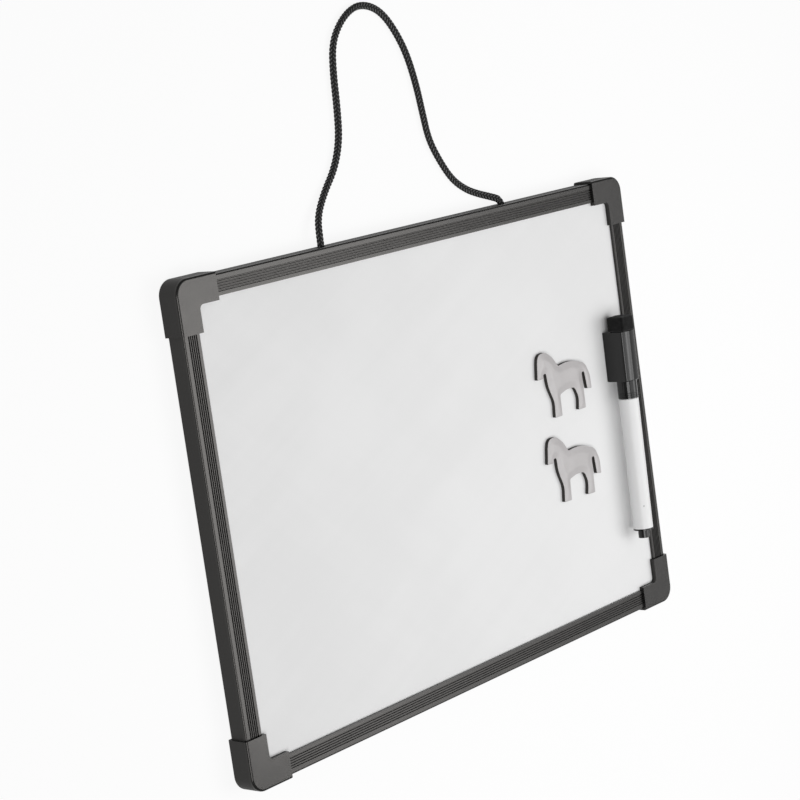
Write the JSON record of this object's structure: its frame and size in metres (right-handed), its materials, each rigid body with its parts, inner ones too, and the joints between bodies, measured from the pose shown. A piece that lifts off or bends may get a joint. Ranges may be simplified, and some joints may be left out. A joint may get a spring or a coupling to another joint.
{
  "type": "magnetic memo board",
  "caption": "Framed magnetic whiteboard with corner caps, a hanging cord, a magnetic capped pen with felt eraser, and horse-shaped magnets that slide on its face.",
  "frame": {"origin": "middle of the board's footprint, on the surface its corner caps lie on", "axes": "+X to the board's right along its long side, +Y to its top edge, where the cord is, +Z out of the writing face"},
  "size_m": [0.2982, 0.3085, 0.0208],
  "materials": {
    "rail": "satin",
    "corner": "satin",
    "writing_sheet": "gloss",
    "core_board": "matte",
    "back_sheet": "matte",
    "cord": "matte",
    "ferrule": "satin",
    "pen_black": "gloss",
    "cap_magnet": "matte",
    "felt": "matte",
    "pen_white": "satin",
    "nib": "matte",
    "reservoir": "matte",
    "figure_magnet": "matte",
    "figure_face": "satin"
  },
  "bodies": {
    "board": {"top_rail": "rail", "bottom_rail": "rail", "left_rail": "rail", "right_rail": "rail", "top_left_corner": "corner", "top_right_corner": "corner", "bottom_left_corner": "corner", "bottom_right_corner": "corner", "writing_sheet": "writing_sheet", "core_board": "core_board", "back_sheet": "back_sheet", "hanging_cord": "cord", "left_cord_ferrule": "ferrule", "right_cord_ferrule": "ferrule"},
    "pen_holder": {"pen_cap": "pen_black", "cap_magnet": "cap_magnet", "eraser_felt": "felt"},
    "pen": {"pen_barrel": "pen_white", "pen_nib": "nib", "ink_reservoir": "reservoir", "end_plug": "pen_black"},
    "upper_horse": {"upper_horse_magnet": "figure_magnet", "upper_horse_face": "figure_face"},
    "lower_horse": {"lower_horse_magnet": "figure_magnet", "lower_horse_face": "figure_face"}
  },
  "joints": [
    {"name": "pen_holder_slide", "type": "slide", "parent": "board", "child": "pen_holder", "axis": [0, 1, 0], "range_m": [-0.1, 0.055]},
    {"name": "pen_pull", "type": "slide", "parent": "pen_holder", "child": "pen", "axis": [-0.0209, -0.9998, 0], "range_m": [0, 0.045]},
    {"name": "upper_horse_slide", "type": "slide", "parent": "board", "child": "upper_horse", "axis": [1, 0, 0], "range_m": [-0.2, 0.01]},
    {"name": "lower_horse_slide", "type": "slide", "parent": "board", "child": "lower_horse", "axis": [1, 0, 0], "range_m": [-0.2, 0.01]}
  ]
}
